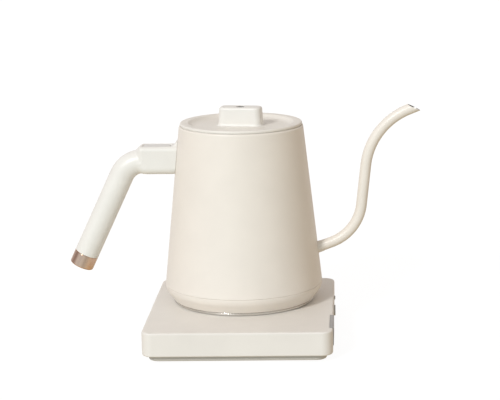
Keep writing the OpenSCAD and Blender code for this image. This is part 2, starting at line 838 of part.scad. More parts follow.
base_top_shell();
base_bottom_cover();
base_feet();
base_screws();
base_connector();
base_contacts();
control_board();
board_components();
terminal_block();
cord_gland();
display_window();
display_module();
button_switch();
hold_switch();
power_button();
hold_slider();
kettle_connector();
kettle_contacts();
kettle_shell();
neck_ring();
spout();
spout_collar();
lower_ring();
seam_seal();
trim_ring();
bottom_plate();
heat_spreader();
heating_element();
thermal_cutout();
temperature_probe();
probe_seal();
underside_cover();
underside_screws();
handle_bracket();
handle_shell();
thumb_inlay();
handle_core();
handle_screws();
handle_end_cap();
lid_gasket();
lid_top();
lid_cup();
lid_knob();
lid_screws();
vent_tube();
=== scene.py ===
"""Looks for the gooseneck kettle.

Shapes are in millimetres until add() and subtract() turn them into metres. The kettle and
the lid are built about the kettle's own axis, with z = 0 on top of the base.
"""
from math import cos, pi, radians, sin, sqrt, tan

import bmesh
import bpy
from mathutils import Matrix, Vector


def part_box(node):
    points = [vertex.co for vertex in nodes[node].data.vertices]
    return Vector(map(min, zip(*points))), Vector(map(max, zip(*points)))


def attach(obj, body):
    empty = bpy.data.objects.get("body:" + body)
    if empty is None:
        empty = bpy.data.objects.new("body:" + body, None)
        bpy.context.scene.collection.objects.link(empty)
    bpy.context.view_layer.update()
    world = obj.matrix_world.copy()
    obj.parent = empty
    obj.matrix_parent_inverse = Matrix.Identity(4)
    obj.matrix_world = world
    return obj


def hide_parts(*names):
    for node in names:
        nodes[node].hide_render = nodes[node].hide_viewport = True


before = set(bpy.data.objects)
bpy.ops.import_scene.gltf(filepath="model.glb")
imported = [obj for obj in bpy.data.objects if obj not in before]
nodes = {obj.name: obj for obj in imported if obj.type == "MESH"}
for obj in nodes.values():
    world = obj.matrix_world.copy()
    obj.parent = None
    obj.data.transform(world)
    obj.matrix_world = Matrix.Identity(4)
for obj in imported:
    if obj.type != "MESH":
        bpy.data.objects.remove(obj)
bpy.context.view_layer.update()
scene = bpy.context.scene
MM = 0.001


def low(node):
    """A node's lowest corner in millimetres."""
    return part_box(node)[0] / MM


def high(node):
    """A node's highest corner in millimetres."""
    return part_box(node)[1] / MM


TOP = high("base_top_shell").z
KETTLE_Y = (low("trim_ring").y + high("trim_ring").y) / 2
KETTLE = (0, KETTLE_Y, TOP)  # where the kettle's own frame starts
FLOOR = (0, 0, 0)
UP, ALONG_X, ALONG_Y = (0, 0, 1), (1, 0, 0), (0, 1, 0)


# ---- materials ----

CLOUD_SCALE = 38  # of the slow changes in colour, about 26 mm across
NOISE_LOW, NOISE_HIGH = 0.3, 0.7  # the range that noise really fills
COAT_ROUGH = 0.12
RELIEF_DEPTH = 0.0002  # metres


def soft(name, color, rough, metal=0.0, mottle=0.02, grain=900, bump=0.05, stretch=(1, 1, 1),
         rough_spread=0.06, coat=0.0, sheen=0.0):
    """A surface with fine grain in its relief, and slow changes in its colour and gloss."""
    material = bpy.data.materials.new(name)
    material.use_nodes = True
    tree = material.node_tree
    shader = tree.nodes["Principled BSDF"]
    shader.inputs["Metallic"].default_value = metal
    shader.inputs["Specular IOR Level"].default_value = 0.5
    shader.inputs["Coat Weight"].default_value = coat
    shader.inputs["Coat Roughness"].default_value = COAT_ROUGH
    shader.inputs["Sheen Weight"].default_value = sheen
    place = tree.nodes.new("ShaderNodeTexCoord")
    spread = tree.nodes.new("ShaderNodeMapping")
    spread.inputs["Scale"].default_value = stretch
    tree.links.new(place.outputs["Object"], spread.inputs["Vector"])

    def noise(scale, detail, source):
        node = tree.nodes.new("ShaderNodeTexNoise")
        node.inputs["Scale"].default_value = scale
        node.inputs["Detail"].default_value = detail
        tree.links.new(source, node.inputs["Vector"])
        return node.outputs["Fac"]

    clouds = noise(CLOUD_SCALE, 4, place.outputs["Object"])
    ramp = tree.nodes.new("ShaderNodeValToRGB")
    ramp.color_ramp.elements[0].position = NOISE_LOW
    ramp.color_ramp.elements[1].position = NOISE_HIGH
    ramp.color_ramp.elements[0].color = [c * (1 - mottle) for c in color] + [1]
    ramp.color_ramp.elements[1].color = [min(1, c * (1 + mottle)) for c in color] + [1]
    tree.links.new(clouds, ramp.inputs["Fac"])
    tree.links.new(ramp.outputs["Color"], shader.inputs["Base Color"])

    gloss = tree.nodes.new("ShaderNodeMapRange")
    gloss.inputs["From Min"].default_value = NOISE_LOW
    gloss.inputs["From Max"].default_value = NOISE_HIGH
    gloss.inputs["To Min"].default_value = rough - rough_spread
    gloss.inputs["To Max"].default_value = rough + rough_spread
    tree.links.new(noise(grain * 0.25, 3, spread.outputs["Vector"]), gloss.inputs["Value"])
    tree.links.new(gloss.outputs["Result"], shader.inputs["Roughness"])

    relief = tree.nodes.new("ShaderNodeBump")
    relief.inputs["Strength"].default_value = bump
    relief.inputs["Distance"].default_value = RELIEF_DEPTH
    tree.links.new(noise(grain, 2, spread.outputs["Vector"]), relief.inputs["Height"])
    tree.links.new(relief.outputs["Normal"], shader.inputs["Normal"])
    return material


COAT = soft("body_coat", (0.82, 0.765, 0.69), 0.38, grain=1400, bump=0.06)
RING = soft("ring_plastic", (0.82, 0.765, 0.69), 0.42, grain=1200, bump=0.05)
LID = soft("lid_coat", (0.80, 0.765, 0.70), 0.42, grain=1400, bump=0.06)
HANDLE = soft("handle_plastic", (0.82, 0.80, 0.75), 0.36, grain=1100, bump=0.05)
BASE = soft("base_plastic", (0.80, 0.765, 0.71), 0.5, grain=1800, bump=0.10)
COVER = soft("cover_plastic", (0.58, 0.555, 0.51), 0.55, grain=1500, bump=0.12, mottle=0.04)
THUMB = soft("thumb_pad", (0.76, 0.745, 0.72), 0.62, grain=2200, bump=0.2, mottle=0.03)
RUBBER = soft("foot_rubber", (0.24, 0.23, 0.22), 0.75, grain=900, bump=0.3, mottle=0.08)
DARK = soft("dark_plastic", (0.045, 0.045, 0.048), 0.45, grain=1300, bump=0.12, mottle=0.1)
DISPLAY = soft("display_window", (0.34, 0.33, 0.32), 0.3, grain=500, bump=0.005, coat=0.1, mottle=0.05)
CONTROL = soft("control_plastic", (0.44, 0.43, 0.41), 0.42, grain=1500, bump=0.1, mottle=0.04)
CONNECTOR = soft("connector_plastic", (0.70, 0.69, 0.66), 0.45, grain=1200, bump=0.08)
INNER = soft("underside_plastic", (0.60, 0.59, 0.56), 0.5, grain=1200, bump=0.1, mottle=0.03)
STEEL = soft("brushed_steel", (0.62, 0.62, 0.61), 0.30, metal=1, grain=700, bump=0.10,
             stretch=(1, 1, 12), mottle=0.05, rough_spread=0.1)
TRIM = soft("trim_steel", (0.66, 0.64, 0.61), 0.22, metal=1, grain=500, bump=0.03,
            stretch=(1, 1, 9), mottle=0.04)
COPPER = soft("copper_plate", (0.74, 0.54, 0.42), 0.2, metal=1, grain=450, bump=0.05,
              stretch=(1, 1, 6), mottle=0.10, rough_spread=0.05)
# Bare steel, darkened to paint the shade inside the spout's bore and the knob's vent hole.
STEEL_WITH_PAINTED_SHADE = soft("bare_steel_with_painted_shade", (0.46, 0.45, 0.44), 0.42, metal=1, grain=900, bump=0.1, mottle=0.05)
BRASS = soft("contact_brass", (0.78, 0.58, 0.28), 0.28, metal=1, grain=900, bump=0.1, mottle=0.08)
ALUMINIUM = soft("aluminium", (0.72, 0.72, 0.73), 0.36, metal=1, grain=600, bump=0.1, mottle=0.05)
SILICONE = soft("silicone", (0.70, 0.69, 0.66), 0.5, grain=700, bump=0.08, sheen=0.15)
BOARD = soft("board_green", (0.03, 0.15, 0.07), 0.4, grain=300, bump=0.25, mottle=0.25)
PARTS = soft("component_plastic", (0.10, 0.14, 0.20), 0.4, grain=800, bump=0.1, mottle=0.15)
TERMINAL = soft("terminal_plastic", (0.10, 0.30, 0.18), 0.42, grain=900, bump=0.1, mottle=0.1)


# ---- mesh helpers ----

def add(name, mesh, material, body, replaced=(), at=FLOOR, turn=None, sharp=32, cuts=()):
    """Makes a piece from (vertices, faces), puts it in place and ties it to its CAD body."""
    verts, faces = mesh
    data = bpy.data.meshes.new(name)
    data.from_pydata([Vector(v) for v in verts], [], faces)
    bm = bmesh.new()
    bm.from_mesh(data)
    bmesh.ops.remove_doubles(bm, verts=bm.verts, dist=1e-4)
    bmesh.ops.recalc_face_normals(bm, faces=bm.faces)
    bm.to_mesh(data)
    bm.free()
    if turn:
        data.transform(turn)
    data.transform(Matrix.Scale(MM, 4) @ Matrix.Translation(at))
    piece = bpy.data.objects.new(name, data)
    scene.collection.objects.link(piece)
    for cut in cuts:
        subtract(piece, cut, at)
    data = piece.data
    data.materials.clear()
    data.materials.append(material)
    data.polygons.foreach_set("use_smooth", [True] * len(data.polygons))
    data.polygons.foreach_set("material_index", [0] * len(data.polygons))
    data.set_sharp_from_angle(angle=radians(sharp))
    normals = piece.modifiers.new("normals", "WEIGHTED_NORMAL")
    normals.keep_sharp = True
    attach(piece, body)
    if replaced:
        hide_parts(*([replaced] if isinstance(replaced, str) else replaced))
    return piece


def subtract(piece, mesh, at):
    """Cuts a closed (vertices, faces) shape out of a piece."""
    verts, faces = mesh
    data = bpy.data.meshes.new("cutter")
    data.from_pydata([(Vector(v) + Vector(at)) * MM for v in verts], [], faces)
    bm = bmesh.new()
    bm.from_mesh(data)
    bmesh.ops.recalc_face_normals(bm, faces=bm.faces)
    bm.to_mesh(data)
    bm.free()
    cutter = bpy.data.objects.new("cutter", data)
    scene.collection.objects.link(cutter)
    cut = piece.modifiers.new("cut", "BOOLEAN")
    cut.object = cutter
    cut.operation = "DIFFERENCE"
    cut.solver = "EXACT"
    graph = bpy.context.evaluated_depsgraph_get()
    graph.update()
    result = bpy.data.meshes.new_from_object(piece.evaluated_get(graph))
    piece.modifiers.clear()
    piece.data = result
    bpy.data.objects.remove(cutter)


def rounded(points, steps=6):
    """An outline of (x, z, radius) corners, as (x, z) points with the corners rounded."""
    out = []
    for i, (x, z, radius) in enumerate(points):
        here = Vector((x, z))
        if radius <= 0:
            out.append((x, z))
            continue
        before = Vector(points[i - 1][:2]) - here
        after = Vector(points[(i + 1) % len(points)][:2]) - here
        half = before.angle(after) / 2
        reach = min(radius / tan(half), 0.48 * before.length, 0.48 * after.length)
        a, b = before.normalized(), after.normalized()
        middle = here + (a + b).normalized() * (reach / cos(half))
        start, end = here + a * reach - middle, here + b * reach - middle
        sweep = start.angle_signed(end)
        for k in range(steps + 1):
            t = -sweep * k / steps
            out.append((middle.x + start.x * cos(t) - start.y * sin(t),
                        middle.y + start.x * sin(t) + start.y * cos(t)))
    return out


def loft(rings, closed=False):
    """Joins rings of equal length. Open lofts get a cap at each end."""
    n = len(rings[0])
    verts = [p for ring in rings for p in ring]
    faces = []
    count = len(rings)
    for k in range(count if closed else count - 1):
        a, b = k * n, (k + 1) % count * n
        faces += [(a + i, a + (i + 1) % n, b + (i + 1) % n, b + i) for i in range(n)]
    if not closed:
        faces += [tuple(range(n))[::-1], tuple(range((count - 1) * n, count * n))]
    return verts, faces


def turns(n):
    """The n angles of a full turn."""
    return [2 * pi * i / n for i in range(n)]


def quarter(n):
    """The n + 1 angles from 0 to a quarter turn."""
    return [pi / 2 * k / n for k in range(n + 1)]


def circle(r, z, n):
    return [(r * cos(a), r * sin(a), z) for a in turns(n)]


def lathe(outline, n=160):
    """Turns a closed outline of (r, z) points about Z."""
    return loft([circle(r, z, n) for r, z in outline], closed=True)


def disc(outline, n=160):
    """Turns an open outline of (r, z) points about Z, with flat caps at its two ends."""
    return loft([circle(r, z, n) for r, z in outline])


def round_rect(w, d, r, z, steps=10):
    """Rectangle with round corners, as a ring of points at height z."""
    ring = []
    for k, (sx, sy) in enumerate(((1, 1), (-1, 1), (-1, -1), (1, -1))):
        for i in range(steps + 1):
            a = radians(90 * (k + i / steps))
            ring.append((sx * (w / 2 - r) + r * cos(a), sy * (d / 2 - r) + r * sin(a), z))
    return ring


def reach(w, d, r, a):
    """Distance from a rounded rectangle's middle to its edge, in direction a."""
    c, s = abs(cos(a)), abs(sin(a))
    x, y = w / 2 - r, d / 2 - r
    if c > 0 and w / 2 / c * s <= y:
        return w / 2 / c
    if s > 0 and d / 2 / s * c <= x:
        return d / 2 / s
    along = x * c + y * s
    return along + sqrt(max(0, along ** 2 - x ** 2 - y ** 2 + r ** 2))


def ease(t):
    """A smooth step from 0 to 1."""
    t = max(0.0, min(1.0, t))
    return t * t * (3 - 2 * t)


def block(x0, x1, y0, y1, z0, z1):
    """A box, for cutting."""
    corners = [(x, y, z) for z in (z0, z1) for x, y in ((x0, y0), (x1, y0), (x1, y1), (x0, y1))]
    sides = [(0, 1, 5, 4), (1, 2, 6, 5), (2, 3, 7, 6), (3, 0, 4, 7)]
    return corners, [(3, 2, 1, 0), (4, 5, 6, 7)] + sides


def tube_mesh(radius, start, direction, length, n=64):
    """A plain round bar, for cutting holes."""
    turn = Vector(direction).to_track_quat("Z", "Y").to_matrix()
    return loft([[tuple(Vector(start) + turn @ Vector(point)) for point in circle(radius, h, n)]
                 for h in (0, length)])


# ---- power base ----

BASE_W, BASE_D, BASE_R = 150, 170, 9
SHELL_LOW, COVER_LOW = low("base_top_shell").z, low("base_bottom_cover").z
SIDE = BASE_W / 2
MID_Z = (TOP + SHELL_LOW) / 2
SHELL_WALL, TOP_EDGE, LOW_EDGE = 2.2, 1.5, 1.3
BUTTON_Y, HOLD_Y = 14, 54
DISPLAY_LOW, DISPLAY_HIGH, DISPLAY_Z = -72.5, -35, low("display_window").z
GLAND_X, GLAND_Z = -40, 15.2
FOOT_X, FOOT_Y = 56, 67
GAP = 0.15  # round the display window


def base_level(inset, r, z):
    """The base's outline, moved inward, at height z."""
    return round_rect(BASE_W - 2 * inset, BASE_D - 2 * inset, r, z)


def shell_level(inset, z):
    return base_level(inset, BASE_R - inset, z)


levels = [shell_level(SHELL_WALL, TOP - SHELL_WALL), shell_level(SHELL_WALL, SHELL_LOW)]
levels += [shell_level(LOW_EDGE, SHELL_LOW)]
levels += [shell_level(LOW_EDGE * (1 - sin(radians(a))), SHELL_LOW + LOW_EDGE * (1 - cos(radians(a))))
           for a in (18, 36, 54, 72, 90)]
levels += [shell_level(TOP_EDGE * (1 - cos(radians(a))), TOP - TOP_EDGE + TOP_EDGE * sin(radians(a)))
           for a in range(0, 91, 15)]
add("base_shell", loft(levels), BASE, "base", "base_top_shell", cuts=[
    tube_mesh(16.75, (0, KETTLE_Y, TOP - 10), UP, 20, n=96),
    block(SIDE - 2.8, SIDE + 2, DISPLAY_LOW - GAP, DISPLAY_HIGH + GAP, DISPLAY_Z - GAP, TOP + 2),
    tube_mesh(4.75, (SIDE - 6, BUTTON_Y, MID_Z), ALONG_X, 10),
    block(SIDE - 6, SIDE + 2, HOLD_Y - 2.8, HOLD_Y + 5.8, MID_Z - 1.5, MID_Z + 1.5),
    tube_mesh(6.5, (GLAND_X, BASE_D / 2 - 6, GLAND_Z), ALONG_Y, 10)])

levels = [base_level(inset, BASE_R - 1.5, COVER_LOW + z) for inset, z in (
    (6.6, 0), (5.9, 0.15), (5.35, 0.55), (5, 1.2), (5, 4.0), (5.15, 4.3), (5.5, 4.4), (7, 4.4), (7, 5.1),
    (2.4, 5.1), (2.4, 6.8))]
screw_pits = [tube_mesh(3, (x * 64, y * 45, -1), UP, 5, n=40) for x in (-1, 1) for y in (-1, 1)]
foot_pits = [tube_mesh(6.15, (x * FOOT_X, y * FOOT_Y, -1), UP, 2.6, n=64) for x in (-1, 1) for y in (-1, 1)]
air_slots = [block(-34 + 9 * i, -31 + 9 * i, -30, 30, -1, 1.5) for i in range(8)]
add("bottom_cover", loft(levels), COVER, "base", "base_bottom_cover",
    cuts=screw_pits + foot_pits + air_slots)

foot = rounded([(0.4, 0, 0), (4.2, 0, 0.3), (4.2, 0.35, 0), (4.8, 0.35, 0), (4.8, 0, 0.3),
                (6, 0, 0.5), (6, 1.55, 0.1), (0.4, 1.55, 0)], steps=4)
for i, (x, y) in enumerate(((-FOOT_X, -FOOT_Y), (FOOT_X, -FOOT_Y), (FOOT_X, FOOT_Y), (-FOOT_X, FOOT_Y))):
    add(f"foot_{i}", disc(foot, n=64), RUBBER, "base", "base_feet", at=(x, y, 0))

PLUG_TOP, PLUG_FLANGE, PLUG_LOW, SLOT_LOW = 10.3, -2.25, -4.4, -2
plug = rounded([
    (0.8, PLUG_LOW, 0), (24, PLUG_LOW, 0.4), (24, PLUG_FLANGE, 0.2), (16.5, PLUG_FLANGE, 0.2),
    (16.5, PLUG_TOP, 1.2), (14.1, PLUG_TOP, 0.3), (14.1, SLOT_LOW, 0), (10.9, SLOT_LOW, 0),
    (10.9, PLUG_TOP, 0.3), (8.6, PLUG_TOP, 0.3), (8.6, SLOT_LOW, 0), (5.4, SLOT_LOW, 0),
    (5.4, PLUG_TOP, 0.3), (3, PLUG_TOP, 0.4), (3, SLOT_LOW, 0), (0.8, SLOT_LOW, 0)], steps=4)
add("plug", lathe(plug, n=128), CONNECTOR, "base", "base_connector", at=KETTLE)

gland = rounded([(3.6, -8, 0.3), (6.4, -8, 0.3), (6.4, 0.02, 0), (7.4, 0.02, 0.1), (7.4, 1.5, 0.5),
                 (5.6, 1.5, 0.3), (5.2, 0.9, 0.2), (4.6, 1.5, 0.3), (3.6, 1.5, 0.3)], steps=4)
add("gland", lathe(gland, n=96), DARK, "base", "cord_gland",
    at=(GLAND_X, BASE_D / 2, GLAND_Z), turn=Matrix.Rotation(radians(-90), 4, "X"))

# The window is an angle: a face on the base's side and a strip on its top.
WINDOW_TOP, WINDOW_OUT, WINDOW_IN, WINDOW_THICK = TOP + 0.06, SIDE + 0.6, SIDE - 2.6, 1.4
outline = rounded([
    (SIDE - WINDOW_THICK, DISPLAY_Z, 0.1), (WINDOW_OUT, DISPLAY_Z, 0.5), (WINDOW_OUT, WINDOW_TOP, 1.1),
    (WINDOW_IN, WINDOW_TOP, 0.15), (WINDOW_IN, TOP - WINDOW_THICK, 0.1),
    (SIDE - WINDOW_THICK, TOP - WINDOW_THICK, 0.1)], steps=4)
levels = []
for y, pinch in ((DISPLAY_LOW, 0.3), (DISPLAY_LOW + 0.1, 0.1), (DISPLAY_LOW + 0.35, 0),
                 (DISPLAY_HIGH - 0.35, 0), (DISPLAY_HIGH - 0.1, 0.1), (DISPLAY_HIGH, 0.3)):
    levels.append([(x - pinch * (x > SIDE - 1), y, z - pinch * (z > TOP - 1)) for x, z in outline])
add("display_cover", loft(levels), DISPLAY, "base", "display_window")

button = rounded([(0.3, -6.2, 0), (1.4, -6.2, 0.1), (1.4, -3.6, 0), (5.7, -3.6, 0.1), (5.7, -2.8, 0.1),
                  (4.5, -2.8, 0), (4.5, 1.3, 0.5), (3.6, 1.3, 0.2), (3.2, 1.0, 0.3), (0.3, 0.85, 0)], steps=4)
add("button", disc(button, n=72), CONTROL, "power_button", "power_button",
    at=(SIDE, BUTTON_Y, MID_Z), turn=Matrix.Rotation(radians(90), 4, "Y"))

levels = []
for x, pinch in ((-6, 0.3), (-5.7, 0), (0.5, 0), (0.78, 0.1), (0.9, 0.3)):
    levels.append([(SIDE + x, HOLD_Y + y * (1 - pinch / 2.5), MID_Z + z * (1 - pinch / 1.2))
                   for y, z, _ in round_rect(5, 2.4, 0.5, 0, steps=5)])
RIB_START, RIB_PITCH, RIB_WIDTH = HOLD_Y - 1.95, 1.1, 0.5
grooves = [block(SIDE + 0.62, SIDE + 1.4, RIB_START + RIB_PITCH * i, RIB_START + RIB_WIDTH + RIB_PITCH * i,
                 MID_Z - 2, MID_Z + 2) for i in range(4)]
add("hold_knob", loft(levels), CONTROL, "hold_slider", "hold_slider", cuts=grooves)


# ---- kettle body ----

SEAM, MOUTH, R_LOW, R_TOP = 15.2, 147, 65.3, 51
SLOPE = (R_LOW - R_TOP) / (MOUTH - SEAM)


def body_r(z):
    """The body's outer radius at height z."""
    return R_LOW - (z - SEAM) * SLOPE


# The spout runs straight from the body, bends up, rises, bends over and ends in a slanting mouth.
ROOT, RISER, TIP = radians(20.4), radians(83.5), radians(22)
SPOUT_R, BORE_R, LOW_R, HIGH_R, RISER_LEN = 4.5, 3.7, 38.6, 56.8, 33.3
MOUTH_AT, MOUTH_TILT = 5, radians(26)
LOW_START = Vector((73.8, 47.4))
LOW_MID = LOW_START + LOW_R * Vector((-sin(ROOT), cos(ROOT)))
RISE = RISER_LEN * Vector((cos(RISER), sin(RISER)))
HIGH_MID = LOW_MID + (LOW_R + HIGH_R) * Vector((sin(RISER), -cos(RISER))) + RISE

ROLL, ROLL_IN = 1.9, 1.2  # the mouth's rolled edge: its height and how far it turns in
shell = [(R_LOW - 1, SEAM), (R_LOW - 0.2, SEAM), (R_LOW - 0.04, SEAM + 0.1)]
shell += [(body_r(SEAM + 0.35), SEAM + 0.35)]
shell += [(body_r(MOUTH - ROLL) - ROLL_IN * (1 - cos(a)), MOUTH - ROLL + ROLL * sin(a)) for a in quarter(12)]
bore = tube_mesh(BORE_R, (LOW_START[0] - 20 * cos(ROOT), 0, LOW_START[1] - 20 * sin(ROOT)),
                 (cos(ROOT), 0, sin(ROOT)), 18, n=48)
add("kettle_body", lathe(shell, n=256), COAT, "kettle", "kettle_shell", at=KETTLE, cuts=[bore])

RING_LOW, RING_FOOT_R, RING_IN_R, RING_WALL, ARC_R = 2.6, 59.2, 51, 2.2, 10.5
BULGE = ((R_LOW - RING_FOOT_R) ** 2 + (SEAM - RING_LOW) ** 2) / (2 * (R_LOW - RING_FOOT_R))
BULGE_MID = R_LOW - BULGE
arc = [(R_LOW - ARC_R * (1 - cos(a)), SEAM - 0.25 - ARC_R * sin(a))
       for a in (radians(35 * k / 14) for k in range(14, -1, -1))]
inner = [(BULGE_MID + sqrt((BULGE - RING_WALL) ** 2 - (SEAM - z) ** 2), z)
         for z in (SEAM - 0.3 - 9.7 * i / 10 for i in range(11))]
ring = [(RING_FOOT_R - 0.7, RING_LOW), (RING_FOOT_R - 0.3, RING_LOW + 0.1), (RING_FOOT_R, RING_LOW + 0.4)]
ring += arc + [(R_LOW - 0.2, SEAM - 0.12), (R_LOW - 0.6, SEAM - 0.1)] + inner
ring += [(RING_IN_R, 4.8), (RING_IN_R, RING_LOW)]
add("lower_band", lathe(ring, n=224), RING, "kettle", "lower_ring", at=KETTLE)

trim = rounded([(56.6, 0.7, 0.3), (57.2, 0.3, 0.2), (58.4, 0.3, 0.3), (58.8, 0.8, 0.3), (58.8, 2.2, 0.25),
                (58.4, 2.55, 0.1), (56.6, 2.55, 0)], steps=4)
add("foot_ring", lathe(trim, n=224), TRIM, "kettle", "trim_ring", at=KETTLE)


# ---- spout ----

def to_body(ring, a, offset):
    """Slides a ring's points along direction a until they are offset from the body's surface."""
    out = []
    for x, y, z in ring:
        for _ in range(12):
            t = (body_r(z) + offset - sqrt(x * x + y * y)) / cos(a)
            x, z = x + t * cos(a), z + t * sin(a)
        out.append((x, y, z))
    return out


def along(s):
    """The spout's middle line: (x, z, angle) at s mm after the start of its low bend."""
    for middle, radius, a0, a1, side, run in (
            (LOW_MID, LOW_R, ROOT, RISER, 1, RISER_LEN), (HIGH_MID, HIGH_R, RISER, TIP, -1, 12)):
        if s < 0:
            return LOW_START[0] + s * cos(ROOT), LOW_START[1] + s * sin(ROOT), ROOT
        length = radius * abs(a1 - a0)
        if s < length:
            a = a0 + (a1 - a0) * s / length
            return middle[0] + side * radius * sin(a), middle[1] - side * radius * cos(a), a
        s -= length
        if s < run or side < 0:
            start = middle + side * radius * Vector((sin(a1), -cos(a1)))
            return start[0] + s * cos(a1), start[1] + s * sin(a1), a1
        s -= run


SPOUT_N = 64
SPOUT_LEN = LOW_R * (RISER - ROOT) + RISER_LEN + HIGH_R * (RISER - TIP) + MOUTH_AT
SPOUT_BACK, LEAN_LEN = 12, 14  # how far the tube reaches back, and the length that leans to the mouth


def spout_point(s, radius, turn):
    """The point s mm along the spout, at this distance and turn from its middle line."""
    x, z, a = along(s)
    up = radius * cos(turn)
    return x - up * sin(a), radius * sin(turn), z + up * cos(a)


def spout_ring(s, radius, n=SPOUT_N):
    return [spout_point(s, radius, t) for t in turns(n)]


def mouth_s(radius, turn, beyond):
    """How far along the spout a line on its wall meets the slanting mouth."""
    normal = Vector((sin(MOUTH_TILT), 0, cos(MOUTH_TILT)))
    on = Vector(spout_point(SPOUT_LEN + beyond, 0, 0)).dot(normal)
    low, high = SPOUT_LEN - 12, SPOUT_LEN + 12
    for _ in range(30):
        s = (low + high) / 2
        low, high = (s, high) if Vector(spout_point(s, radius, turn)).dot(normal) < on else (low, s)
    return s


def spout_wall(radius, beyond, plain=70, lean=14):
    """Rings from the root to the mouth; the last ones lean over to the mouth's slant."""
    last = SPOUT_LEN - LEAN_LEN
    rings = [spout_ring(-SPOUT_BACK + (last + SPOUT_BACK) * k / plain, radius) for k in range(plain + 1)]
    ends = [mouth_s(radius, t, beyond) for t in turns(SPOUT_N)]
    rings += [[spout_point(last + (end - last) * k / lean, radius, t) for t, end in zip(turns(SPOUT_N), ends)]
              for k in range(1, lean + 1)]
    rings[0] = to_body(rings[0], ROOT, -0.5)
    return rings


# The tube is a steel bore inside a layer of paint. The bore's steel is darkened to paint the shade inside the
# tube. The paint's edge at the mouth is slightly rounded.
PAINT_R = SPOUT_R - 0.3
mouth = [[spout_point(mouth_s(r, t, -0.02), r, t) for t in turns(SPOUT_N)] for r in (SPOUT_R - 0.12, PAINT_R)]
paint = spout_wall(SPOUT_R, -0.2) + mouth + spout_wall(PAINT_R, -0.1)[::-1]
add("spout_tube", loft(paint, closed=True), COAT, "kettle", "spout", at=KETTLE, sharp=50)
steel = spout_wall(PAINT_R - 0.01, -0.1) + spout_wall(BORE_R, -0.1)[::-1]
add("spout_bore", loft(steel, closed=True), STEEL_WITH_PAINTED_SHADE, "kettle", "spout", at=KETTLE, sharp=50)

SLEEVE_IN_R, SLEEVE_N, SLEEVE_START, SLEEVE_END = SPOUT_R + 0.02, 56, -13, -8.3
rings = [spout_ring(s, r, SLEEVE_N)
         for s, r in ((SLEEVE_START, 4.75), (-8.9, 4.75), (-8.5, 4.7), (SLEEVE_END, 4.58))]
rings += [spout_ring(SLEEVE_END, SLEEVE_IN_R, SLEEVE_N), spout_ring(SLEEVE_START, SLEEVE_IN_R, SLEEVE_N)]
rings[0] = to_body(rings[0], ROOT, -0.4)
rings[-1] = to_body(rings[-1], ROOT, -0.4)
add("spout_sleeve", loft(rings, closed=True), COAT, "kettle", "spout_collar", at=KETTLE,
    sharp=40)


# ---- handle ----

# A square arm leaves the body, bends down and turns into a round grip with a metal cap.
ARM_Z, ARM_W, ARM_H, ARM_TOP_R, ARM_LOW_R = 118.75, 22, 23.3, 3.6, 6
ARM_TOP = ARM_Z + ARM_H / 2
ARM_START, PAD_X, PAD_DEPTH = -52, -69.5, 1.3
GRIP, GRIP_R, GRIP_LEN, CAP_LEN = radians(25.5), 10, 85, 11.5
BEND_MID, BEND_R, BEND_FROM = Vector((-81.5, 97.3)), 19.8, -4.4
BEND_LEN = BEND_R * (pi / 2 - GRIP)
DOWN = Vector((-sin(GRIP), 0, -cos(GRIP)))
GRIP_START = Vector((BEND_MID.x - BEND_R * cos(GRIP), 0, BEND_MID.y + BEND_R * sin(GRIP)))
JOIN = GRIP_LEN - CAP_LEN
N = 176


def pad(x, y):
    """How deep in the thumb recess a point is: 1 on its floor and 0 outside."""
    dx, dy = abs(x - PAD_X) - 7.5, abs(y) - 3
    out = sqrt(max(dx, 0) ** 2 + max(dy, 0) ** 2) - 4
    return ease((0.45 - out) / 0.9)


def arm_ring(x, shrink=0.0):
    """The arm's section at x. It has the thumb recess on top and a shoulder that rises to the body."""
    ring = []
    for a in turns(N):
        corner = ARM_TOP_R if sin(a) > 0 else ARM_LOW_R
        r = reach(ARM_W - 2 * shrink, ARM_H - 2 * shrink, corner - shrink, a)
        y, z = r * cos(a), ARM_Z + r * sin(a)
        if sin(a) > 0:
            z -= PAD_DEPTH * pad(x, y) * ease((z - ARM_Z - 9) / 2.4)
            z += 3.6 * ease((x + 57) / 4) ** 1.5 * ease((9 - abs(y)) / 3) * ease((z - ARM_Z - 9) / 2.5)
        ring.append((x, y, z))
    return ring


def bend_ring(s):
    """A section s mm into the bend. Its top drops to the round grip in a short crease, and its
    underside turns round slowly."""
    t = max(0, s) / BEND_R
    low_mix = ease((s + 4) / 11)
    ring = []
    for a, (_, y, z) in zip(turns(N), arm_ring(BEND_MID.x - min(s, 3))):
        up = z - BEND_MID.y - BEND_R
        rise = max(0, sin(a))
        soft_by = 1.2 + 0.8 * rise
        top_mix = ease((s - 0.3 - 2.2 * rise + soft_by) / (2 * soft_by))
        share = ease((sin(a) + 0.2) / 0.4)
        mix = top_mix * share + low_mix * (1 - share)
        y, up = y + (GRIP_R * cos(a) - y) * mix, up + (GRIP_R * sin(a) - up) * mix
        reach_out = BEND_R + up
        ring.append((BEND_MID.x - reach_out * sin(t) - min(s, 0), y, BEND_MID.y + reach_out * cos(t)))
    return ring


def grip_ring(s, shrink=0.0):
    """A round section s mm down the straight grip."""
    middle = GRIP_START + DOWN * s
    side = Vector((-cos(GRIP), 0, sin(GRIP)))
    r = GRIP_R - shrink
    return [tuple(middle + side * (r * sin(a)) + Vector((0, r * cos(a), 0))) for a in turns(N)]


def on_body(ring, offset):
    """Moves a section's points along X on to the body's surface, or off it by the offset."""
    return [(-sqrt(max(0, (body_r(z) + offset) ** 2 - y * y)), y, z) for _, y, z in ring]


